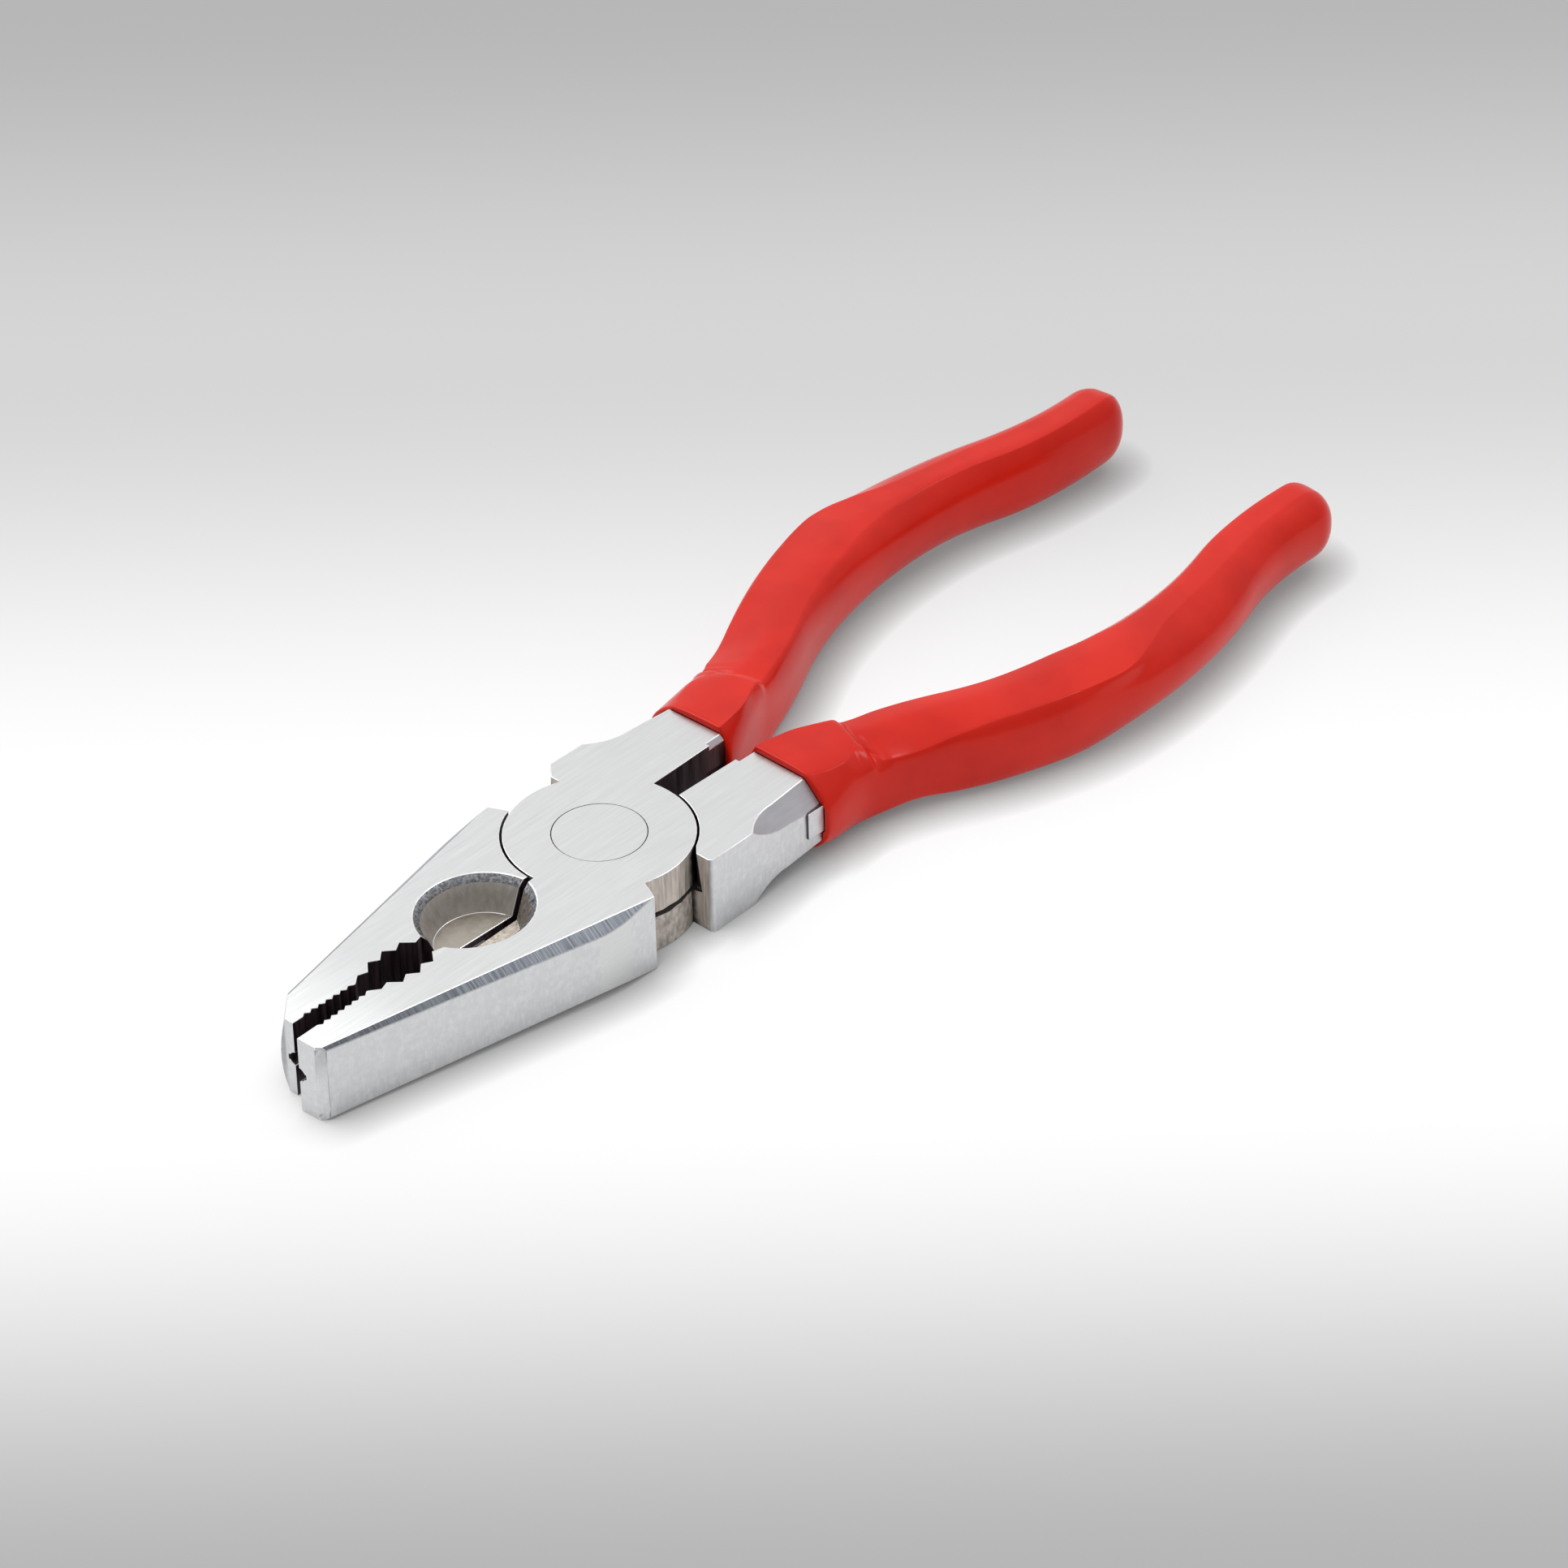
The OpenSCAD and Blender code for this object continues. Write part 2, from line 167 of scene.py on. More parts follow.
def mixColours(tree, factor, a, b, kind="MIX"):
    node = place(tree, "ShaderNodeMix", data_type="RGBA", blend_type=kind)
    for value, socket in ((factor, node.inputs[0]), (a, node.inputs[6]), (b, node.inputs[7])):
        wire(tree, value, socket)
    return node.outputs[2]


def bumpNode(tree, height, strength, depth):
    node = place(tree, "ShaderNodeBump")
    for label, value in (("Height", height), ("Strength", strength), ("Distance", depth * mm)):
        wire(tree, value, node.inputs[label])
    return node.outputs["Normal"]


# grain left by a belt or a cutter: streaks, larger clouds and small pits
def makeGrainGroup():
    tree, given, made = newGroup("steelGrain", (
        ("Frequency", "NodeSocketVector", (100.0, 2500.0, 2500.0)),
        ("Cloud Scale", "NodeSocketFloat", 300.0),
        ("Pit Scale", "NodeSocketFloat", 1500.0)), ("Streak", "Cloud", "Pit"))
    where = onObject(tree)
    stretched = vectorNode(tree, "MULTIPLY", where, given.outputs["Frequency"])
    streak = noiseNode(tree, stretched, scale=1.0, detail=3.0, roughness=0.6)
    cloud = noiseNode(tree, where, given.outputs["Cloud Scale"], detail=2.0)
    pit = noiseNode(tree, where, given.outputs["Pit Scale"], detail=4.0, roughness=0.7)
    wire(tree, rangeNode(tree, streak, low=0.28, high=0.72), made.inputs["Streak"])
    wire(tree, rangeNode(tree, cloud, low=0.3, high=0.7), made.inputs["Cloud"])
    wire(tree, rangeNode(tree, pit, low=0.55, high=0.72), made.inputs["Pit"])
    return tree


# painted shade: the colour goes dark where two surfaces come close, as in the shade of a crevice
def makeCreviceShadeGroup():
    tree, given, made = newGroup("paintedCreviceShade", (
        ("Reach", "NodeSocketFloat", 0.001),
        ("Ragged", "NodeSocketFloat", 900.0)), ("Mask",))
    aoShade = place(tree, "ShaderNodeAmbientOcclusion", samples=8)
    wire(tree, given.outputs["Reach"], aoShade.inputs["Distance"])
    ragged = noiseNode(tree, onObject(tree), given.outputs["Ragged"], detail=3.0)
    total = mathNode(tree, "MULTIPLY_ADD", ragged, 0.5, aoShade.outputs["AO"])
    wire(tree, rangeNode(tree, total, low=0.5, high=1.0, toLow=1.0, toHigh=0.0), made.inputs["Mask"])
    return tree


grainGroup = makeGrainGroup()
creviceShadeGroup = makeCreviceShadeGroup()

# steel finishes: grain is the streaks in a metre along x, y and z, and a paintedSweep is (x, brightness)
# twice, painted light and shade along x
plainSteel = {"metallic": 1.0, "cloud": 260.0, "cloudiness": 0.3, "pit": 1800.0, "pitDepth": 0.3,
              "bump": 0.25, "grainDepth": 0.02, "paintedShadeReach": 0.0, "paintedShadeColour": (0.012, 0.009, 0.008),
              "paintedSweep": None}
steelLooks = {
    "flat": {
        "name": "groundFlat", "light": (0.71, 0.715, 0.72), "dark": (0.65, 0.655, 0.66),
        "tint": (0.67, 0.67, 0.67), "grain": (110, 4200, 4200), "roughness": (0.34, 0.39), "bump": 0.08,
        # painted highlight: the flats are painted brighter towards the tips
        "paintedSweep": ((-54, 1.26), (-38, 0.98))},
    "side": {
        "name": "millSide", "light": (0.75, 0.755, 0.77), "dark": (0.64, 0.645, 0.66),
        "tint": (0.60, 0.605, 0.62), "grain": (2600, 2600, 420), "roughness": (0.38, 0.48),
        "cloud": 1100, "cloudiness": 0.6, "pitDepth": 0.6},
    # cross-ground grain on the facets, in a colour painted dark as shade, for the darker sky they reflect
    "facet": {
        "name": "crossGroundFacetPaintedShade", "light": (0.38, 0.405, 0.45), "dark": (0.155, 0.17, 0.198),
        "tint": (0.24, 0.26, 0.295), "grain": (4600, 160, 160), "roughness": (0.3, 0.42), "bump": 0.4,
        # painted shade towards the tips, painted light towards the rear of the facets
        "paintedSweep": ((-52, 0.62), (-16, 1.25))},
    "bevel": {
        "name": "milledBevel", "light": (0.47, 0.46, 0.49), "dark": (0.41, 0.405, 0.43),
        "tint": (0.43, 0.42, 0.45), "grain": (300, 1500, 1500), "roughness": (0.42, 0.5), "metallic": 0.45},
    "joint": {
        "name": "turnedJoint", "light": (0.74, 0.67, 0.61), "dark": (0.33, 0.29, 0.26),
        "tint": (0.54, 0.48, 0.43), "grain": (2600, 2600, 200), "roughness": (0.4, 0.55), "metallic": 0.45,
        "cloud": 650, "cloudiness": 0.6, "pitDepth": 0.8, "bump": 0.5, "paintedShadeReach": 1.6},
    "under": {
        "name": "forgedJoint", "light": (0.74, 0.68, 0.62), "dark": (0.26, 0.23, 0.21),
        "tint": (0.50, 0.45, 0.40), "grain": (1300, 1300, 700), "roughness": (0.4, 0.6), "metallic": 0.45,
        "cloud": 900, "cloudiness": 0.5, "pit": 1200, "pitDepth": 1.5, "bump": 0.7, "paintedShadeReach": 0.7},
    # dark seams, and painted shade in the pocket corner
    "gap": {
        "name": "darkSeamAndShade", "light": (0.030, 0.025, 0.022), "dark": (0.012, 0.010, 0.009),
        "tint": (0.020, 0.016, 0.014), "grain": (900, 900, 900), "roughness": (0.7, 0.9), "metallic": 0.0,
        "bump": 0.3},
    "rim": {
        "name": "castRim", "light": (0.52, 0.53, 0.56), "dark": (0.10, 0.10, 0.11),
        "tint": (0.23, 0.23, 0.245), "grain": (2400, 2400, 2400), "roughness": (0.3, 0.5),
        "cloud": 900, "cloudiness": 0.4, "pit": 1300, "pitDepth": 3.0, "bump": 1.0},
    "wall": {
        "name": "castWall", "light": (0.45, 0.41, 0.375), "dark": (0.34, 0.31, 0.285),
        "tint": (0.40, 0.365, 0.33), "grain": (1500, 1500, 500), "roughness": (0.45, 0.6), "metallic": 0.35,
        "cloud": 700, "cloudiness": 0.5, "pitDepth": 0.8, "bump": 0.4},
    # the near jaw's recess wall, a copy of the wall painted darker as shade
    "nearWallShaded": {
        "name": "brownWallPaintedShade", "light": (0.30, 0.26, 0.23), "dark": (0.13, 0.11, 0.095),
        "tint": (0.20, 0.17, 0.15), "grain": (1900, 1900, 1900), "roughness": (0.45, 0.6), "metallic": 0.35,
        "cloud": 900, "cloudiness": 0.5, "pitDepth": 0.8, "bump": 0.5},
    "floor": {
        "name": "blushFloor", "light": (0.45, 0.412, 0.36), "dark": (0.40, 0.365, 0.318),
        "tint": (0.42, 0.385, 0.335), "grain": (900, 900, 900), "roughness": (0.4, 0.5),
        "cloud": 600, "cloudiness": 0.4, "bump": 0.3},
    # the near jaw's recess floor, a copy of the floor painted lighter as light
    "nearFloorLit": {
        "name": "creamFloorPaintedLight", "light": (0.74, 0.68, 0.60), "dark": (0.40, 0.34, 0.27),
        "tint": (0.66, 0.60, 0.52), "grain": (2300, 2300, 2300), "roughness": (0.4, 0.55), "metallic": 0.6,
        "cloud": 700, "cloudiness": 0.4, "bump": 0.4},
    # blackened teeth; the same dark finish is painted on the slot as shade
    "tooth": {
        "name": "blackedTeethAndSlotShade", "light": (0.13, 0.085, 0.095), "dark": (0.014, 0.011, 0.015),
        "tint": (0.06, 0.035, 0.042), "grain": (1500, 1500, 90), "roughness": (0.28, 0.45), "metallic": 0.6,
        "cloud": 600, "cloudiness": 0.5, "bump": 0.4},
    # rubbed edges, painted bright as a highlight
    "edge": {
        "name": "rubbedEdgeHighlight", "light": (0.90, 0.90, 0.91), "dark": (0.80, 0.80, 0.81),
        "tint": (0.84, 0.84, 0.85), "grain": (600, 600, 600), "roughness": (0.26, 0.34), "bump": 0.1},
}


def steelFinish(steel):
    material, tree, shader = newMaterial(steel["name"])
    grain = place(tree, "ShaderNodeGroup", node_tree=grainGroup)
    for label, key in (("Frequency", "grain"), ("Cloud Scale", "cloud"), ("Pit Scale", "pit")):
        wire(tree, steel[key], grain.inputs[label])
    streaked = mixColours(tree, grain.outputs["Streak"], steel["dark"], steel["light"])
    clouded = mixColours(tree, grain.outputs["Cloud"], streaked, steel["tint"])
    colour = mixColours(tree, steel["cloudiness"], streaked, clouded)
    # painted shade: the colour goes dark close to crevices
    if steel["paintedShadeReach"]:
        shadeInCrevice = place(tree, "ShaderNodeGroup", node_tree=creviceShadeGroup)
        wire(tree, steel["paintedShadeReach"] * mm, shadeInCrevice.inputs["Reach"])
        colour = mixColours(tree, shadeInCrevice.outputs["Mask"], colour, steel["paintedShadeColour"])
    # painted light and shade: the colour is multiplied by a brightness that runs along x
    if steel["paintedSweep"]:
        (startX, startLevel), (endX, endLevel) = steel["paintedSweep"]
        split = place(tree, "ShaderNodeSeparateXYZ")
        wire(tree, onObject(tree), split.inputs[0])
        level = rangeNode(tree, split.outputs["X"], startX * mm, endX * mm, startLevel, endLevel)
        colour = mixColours(tree, 1.0, colour, level, "MULTIPLY")
    wire(tree, colour, shader.inputs["Base Color"])
    gloss = rangeNode(tree, grain.outputs["Streak"], 0.0, 1.0, *steel["roughness"])
    wire(tree, gloss, shader.inputs["Roughness"])
    wire(tree, steel["metallic"], shader.inputs["Metallic"])
    height = mathNode(tree, "MULTIPLY_ADD", grain.outputs["Pit"], -steel["pitDepth"], grain.outputs["Streak"])
    wire(tree, bumpNode(tree, height, steel["bump"], steel["grainDepth"]), shader.inputs["Normal"])
    return material


steels = {zone: steelFinish({**plainSteel, **steel}) for zone, steel in steelLooks.items()}
zoneIndex = {zone: i for i, zone in enumerate(steels)}
print("steel finishes:", len(steels))

# a lever in the closed tool; a lean is the share of a face's normal along one axis
lever = {
    "merge": 0.012, "mergeTurn": 0.4,  # clean-up of the solid's mesh, the turn in degrees
    "flatLean": 0.97, "flush": 0.1,  # ground flats
    "slope": 0.3, "facetLean": 0.35,  # sloped faces, apart from those that face the tips
    "rivetR": 7.0, "jointR": 13.2, "shoulderX": 14.0, "shoulderLean": 0.8,  # lap joint
    "tipX": 48.0, "tipBite": 1.2,  # noses, and the notch between them
    "toothX": 29.5, "toothW": 3.4, "toothLean": 0.5, "uprightLean": 0.2,  # teeth
    "slotX": 20.0, "slotEndX": 23.0, "slotLean": 0.9, "slotW": 1.9, "slotEdge": 0.6,  # slot behind the joint
    "recessX": 22.2, "recessHalf": 9.2, "recessW": 8.4, "recessZ": (6.0, 7.2),  # cutter recess
    "rimLean": (0.55, 0.85), "rimZ": 10.0, "wallLean": (0.2, 0.55), "reliefZ": 6.5,
    "lipW": 0.16, "lipFrom": 0.9,  # lips of the recess floors
    "waistX": 12.8, "waistReach": 1.0, "waistY": 12.0, "waistTall": 5.0, "waistRound": 2.6, "waistSteps": 5,
    "pocketX": (4.5, 6.0), "pocketR": 12.8, "pocketPlay": 0.1, "pocketTall": 3.0, "pocketInner": (5.0, 6.5),
    "pocketOpen": 1.5, "pocketOuter": 0.4,  # how far the pocket's corner is opened, and its share at the outer face
    "lapZ": (5.2, 6.2), "lapR": 12.0, "lapTurn": 0.8, "lapSeam": 0.30,  # seam of the joint halves
    "lapWave": 0.25, "lapWaves": (17, 41), "nearWave": 0.6,
    "edgeAngle": 24, "edgeW": 0.11, "edgeL": 0.05, "edgeSteps": 2, "brightEdge": 0.3, "uprightEdge": 0.5,
    "gripX": 25.9, "holeR": 6.6, "jointEdgeR": 13.4, "pocketEdge": (5.0, 0.2),  # where edges stay dull
    "sharpAngle": 30, "flatWeight": 90,
}


def between(value, limits):
    return limits[0] < value < limits[1]


def fromPivot(v):
    return math.hypot(v.x, v.y)


def tall(edge):
    return abs(edge.verts[0].co.z - edge.verts[1].co.z)


def bevelEdges(bm, edges, width, steps, zone):
    return bmesh.ops.bevel(bm, geom=edges, offset=width, offset_type="OFFSET", segments=steps, profile=0.5,
                           affect="EDGES", clamp_overlap=False, material=zoneIndex[zone])


# a face's finish, from its normal n and its centre c; side is the sign of y on the jaw
def zoneOf(n, c, side, shape):
    jaw = c.y * side > 0 and c.x < 0
    tip = jaw and c.x < -shape["tipX"]
    recess = abs(c.x + shape["recessX"]) < shape["recessHalf"] and abs(c.y) < shape["recessW"]
    aboveBlade = c.z > shape["recessZ"][0]
    if abs(n.z) > shape["flatLean"]:
        if abs(c.z - headT) < shape["flush"] or abs(c.z) < shape["flush"]:
            return "flat"
        # on the near jaw the recess floor and wall take copies painted as light and shade
        if recess and aboveBlade:
            return "floor" if side > 0 else "nearFloorLit"
        return "tooth" if c.x > shape["slotX"] else "joint"
    if jaw and recess:
        if between(n.z, shape["rimLean"]) and c.z > shape["rimZ"]:
            return "rim"
        if between(n.z, shape["wallLean"]) and aboveBlade:
            return "wall" if side > 0 else "nearWallShaded"
        if n.z < -shape["slope"] and c.z < shape["reliefZ"]:
            return "tooth"
    if fromPivot(c) < shape["rivetR"]:
        return "gap"
    if fromPivot(c) < shape["jointR"]:
        return "joint" if c.z > headT / 2 else "under"
    if tip and n.x < -shape["slope"] and (n.y * side > -shape["toothLean"] or abs(c.y) > shape["tipBite"]):
        return "side"
    if jaw and abs(c.y) < shape["toothW"] and n.y * side < shape["toothLean"]:
        if c.x < -shape["toothX"] or abs(n.z) < shape["uprightLean"]:
            return "tooth"
    # the slot's end wall takes the dark tooth finish: painted shade inside the slot
    if c.x > shape["slotEndX"] and n.x < -shape["slotLean"]:
        return "tooth"
    if abs(n.z) > shape["slope"] and n.x > -shape["facetLean"] and not tip:
        return "facet" if c.x < 0 else "bevel"
    if abs(n.x) > shape["shoulderLean"] and abs(c.x) < shape["shoulderX"]:
        return "joint"
    # the slot's side walls take the dark tooth finish: painted shade inside the slot
    if c.x > 0 and abs(c.y) < shape["slotW"] + shape["slotEdge"]:
        return "tooth" if abs(c.y) < shape["slotW"] else "joint"
    return "side"


# the recess floors end in a lip at their walls, painted bright as a highlight
def lipRecess(bm, shape):
    floors = [f for f in bm.faces if f.material_index in (zoneIndex["floor"], zoneIndex["nearFloorLit"])]
    lips = bmesh.ops.inset_region(bm, faces=floors, thickness=shape["lipW"], use_even_offset=True)["faces"]
    for face in lips:
        if abs(face.calc_center_median().y) > shape["lipFrom"]:
            face.material_index = zoneIndex["edge"]


# the jaw's waist is rounded, so the facet runs out in a curve
def roundWaist(bm, shape):
    def atWaist(v):
        return abs(v.co.x + shape["waistX"]) < shape["waistReach"] and abs(v.co.y) > shape["waistY"]

    waist = [e for e in bm.edges if tall(e) > shape["waistTall"] and all(atWaist(v) for v in e.verts)]
    bevelEdges(bm, waist, shape["waistRound"], shape["waistSteps"], "flat")


# the pocket's front corner is opened below its edge, and its faces painted black as the shade in the gap
def openPocketCorner(bm, side, shape):
    def atCorner(v):
        offWall = abs(fromPivot(v.co) - shape["pocketR"])
        return between(v.co.x, shape["pocketX"]) and offWall < shape["pocketPlay"]

    corner = [e for e in bm.edges if tall(e) > shape["pocketTall"] and all(atCorner(v) for v in e.verts)]
    openedVerts = {v for e in corner for v in e.verts}
    for vert in openedVerts:
        share = 1.0 if between(vert.co.z, shape["pocketInner"]) else shape["pocketOuter"]
        vert.co.y -= side * shape["pocketOpen"] * share
    for face in {f for v in openedVerts for f in v.link_faces}:
        if abs(face.normal.x) < shape["slotLean"] and abs(face.normal.z) < shape["toothLean"]:
            face.material_index = zoneIndex["gap"]


# a ragged dark seam where the joint halves meet
def cutLapSeam(bm, side, shape):
    def atLap(v):
        return between(v.co.z, shape["lapZ"]) and fromPivot(v.co) > shape["lapR"]

    lap = [e for e in bm.edges if len(e.link_faces) == 2 and e.calc_face_angle_signed() > shape["lapTurn"]
           and all(atLap(v) for v in e.verts)]
    slow, quick = shape["lapWaves"]
    wave = side * shape["lapWave"] * (1 if side > 0 else shape["nearWave"])
    for vert in bevelEdges(bm, lap, shape["lapSeam"], 1, "gap")["verts"]:
        a = math.atan2(vert.co.y, vert.co.x)
        if abs(vert.co.z - headT / 2) > 0.5 * shape["lapSeam"]:
            vert.co.z -= wave * math.sin(slow * a) * math.sin(quick * a + 1)


# outer edges are rubbed, and painted bright as a highlight beside the flats and the recess floors
def rubEdges(bm, side, shape):
    hidden = {zoneIndex["tooth"], zoneIndex["gap"]}
    casting = {zoneIndex["rim"], zoneIndex["wall" if side > 0 else "nearWallShaded"]}
    sharp = []
    for edge in bm.edges:
        if len(edge.link_faces) != 2 or edge.calc_face_angle() < math.radians(shape["edgeAngle"]):
            continue
        kinds = {f.material_index for f in edge.link_faces}
        mid = (edge.verts[0].co + edge.verts[1].co) / 2
        if kinds == casting or kinds <= hidden:
            continue
        if mid.x < -shape["tipX"] and tall(edge) > shape["uprightEdge"]:
            continue
        if mid.x > shape["gripX"] or fromPivot(mid) < shape["holeR"] or between(mid.z, shape["lapZ"]):
            continue
        if edge.calc_face_angle_signed() > 0 and edge.calc_length() > shape["edgeL"]:
            sharp.append(edge)
    bevelEdges(bm, sharp, shape["edgeW"], shape["edgeSteps"], "edge")
    pocketX, pocketW = shape["pocketEdge"]
    for face in bm.faces:
        c = face.calc_center_median()
        atFlat = not between(c.z, (shape["brightEdge"], headT - shape["brightEdge"]))
        atFloor = between(c.z, shape["recessZ"]) and c.x < 0
        if face.material_index == zoneIndex["edge"] and not atFlat and not atFloor:
            atJoint = fromPivot(c) < shape["jointEdgeR"] or abs(c.x - pocketX) < pocketW
            face.material_index = zoneIndex["joint" if atJoint else "side"]
    return len(sharp)


def leverPiece(node, body, side, shape):
    bm = bmesh.new()
    bm.from_mesh(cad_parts[node].data)
    bm.transform(Matrix.Rotation(math.radians(side * restTurn), 4, "Z") @ Matrix.Scale(1 / mm, 4))
    bmesh.ops.remove_doubles(bm, verts=bm.verts, dist=shape["merge"])
    bmesh.ops.dissolve_limit(bm, angle_limit=math.radians(shape["mergeTurn"]), use_dissolve_boundaries=False,
                             verts=bm.verts, edges=bm.edges)
    bm.normal_update()
    for face in bm.faces:
        face.material_index = zoneIndex[zoneOf(face.normal, face.calc_center_median(), side, shape)]
    lipRecess(bm, shape)
    roundWaist(bm, shape)
    openPocketCorner(bm, side, shape)
    cutLapSeam(bm, side, shape)
    rubbed = rubEdges(bm, side, shape)
    for vert in bm.verts:
        vert.co.z = min(headT, max(0.0, vert.co.z))
    bm.transform(Matrix.Rotation(math.radians(-side * restTurn), 4, "Z") @ Matrix.Scale(mm, 4))
    bm.normal_update()
    for face in bm.faces:
        face.smooth = True
    mesh = meshFrom(bm, node + "Dressed", shape["sharpAngle"])
    piece = newPiece(mesh, body, steels.values(), node)
    flatten = piece.modifiers.new("flatFaces", "WEIGHTED_NORMAL")
    flatten.keep_sharp = True
    flatten.weight = shape["flatWeight"]
    print("lever:", node, len(mesh.polygons), "faces,", rubbed, "rubbed edges")


leverPiece("upper_lever", "upper", -1, lever)
leverPiece("lower_lever", "lower", 1, lever)

# rivet ground flush, with the hairline that its rim leaves
rivet = {"headR": 6.3, "shaftR": 4.6, "seam": 0.15, "leastSeam": 0.25, "seamDepth": 0.3, "seamPlay": 0.02,
         "chamfer": 0.03, "turns": 160, "sharpAngle": 30}


def rivetPiece(shape):
    cone = shape["headR"] - shape["shaftR"]
    deepR = shape["headR"] - shape["seamDepth"] - shape["seamPlay"]
    bm = bmesh.new()
    rings = []
    for k in range(shape["turns"]):
        a = 2 * math.pi * k / shape["turns"]
        # the hairline comes and goes
        fade = 0.6 + 0.4 * math.sin(a - 0.5) * math.sin(2.3 * math.sin(a) + 0.4)
        rimR = shape["headR"] - shape["seam"] * max(shape["leastSeam"], fade)
        profile = [(rimR - shape["chamfer"], 0.0), (rimR, shape["chamfer"]),
                   (deepR, shape["seamDepth"]), (shape["shaftR"], cone)]
        profile = profile + [(r, headT - z) for r, z in reversed(profile)]
        rings.append([bm.verts.new(Vector((r * math.cos(a), r * math.sin(a), z)) * mm) for r, z in profile])
    seamBands = (1, len(rings[0]) - 3)
    for k, ring in enumerate(rings):
        after = rings[(k + 1) % len(rings)]
        for j in range(len(ring) - 1):
            face = bm.faces.new((ring[j], after[j], after[j + 1], ring[j + 1]))
            face.smooth = True
            face.material_index = 1 if j in seamBands else 0
    bm.faces.new([ring[0] for ring in reversed(rings)])
    bm.faces.new([ring[-1] for ring in rings])
    bmesh.ops.recalc_face_normals(bm, faces=bm.faces)
    mesh = meshFrom(bm, "rivetDressed", shape["sharpAngle"])
    newPiece(mesh, "upper", (steels["flat"], steels["gap"]), "pivot_rivet")


rivetPiece(rivet)
print("rivet done")


# dipped skin: faint clouds in the red, a fine ripple and scuffed gloss
def makeSkinGroup():
    tree, given, made = newGroup("dipSkin", (
        ("Ripple Scale", "NodeSocketFloat", 260.0),
        ("Cloud Scale", "NodeSocketFloat", 90.0)), ("Cloud", "Scuff", "Ripple"))
    where = onObject(tree)
    cloud = noiseNode(tree, where, given.outputs["Cloud Scale"], detail=3.0)
    ripple = noiseNode(tree, where, given.outputs["Ripple Scale"], detail=2.0)
    scuff = noiseNode(tree, where, scale=700.0, detail=5.0, roughness=0.7)
    wire(tree, rangeNode(tree, cloud, low=0.3, high=0.7), made.inputs["Cloud"])
    wire(tree, rangeNode(tree, scuff, low=0.35, high=0.7), made.inputs["Scuff"])
    wire(tree, ripple, made.inputs["Ripple"])
    return tree


skinLook = {"name": "redDip", "red": (0.68, 0.020, 0.009), "deep": (0.58, 0.014, 0.006),
            "roughness": (0.20, 0.24), "specular": 0.19, "ripple": 0.03, "rippleDepth": 0.1}


def skinFinish(skin):
    material, tree, shader = newMaterial(skin["name"])
    group = place(tree, "ShaderNodeGroup", node_tree=makeSkinGroup())
    colour = mixColours(tree, group.outputs["Cloud"], skin["deep"], skin["red"])
    wire(tree, colour, shader.inputs["Base Color"])
    gloss = rangeNode(tree, group.outputs["Scuff"], 0.0, 1.0, *skin["roughness"])
    wire(tree, gloss, shader.inputs["Roughness"])
    wire(tree, skin["specular"], shader.inputs["Specular IOR Level"])
    relief = bumpNode(tree, group.outputs["Ripple"], skin["ripple"], skin["rippleDepth"])
    wire(tree, relief, shader.inputs["Normal"])
    return material


redSkin = skinFinish(skinLook)

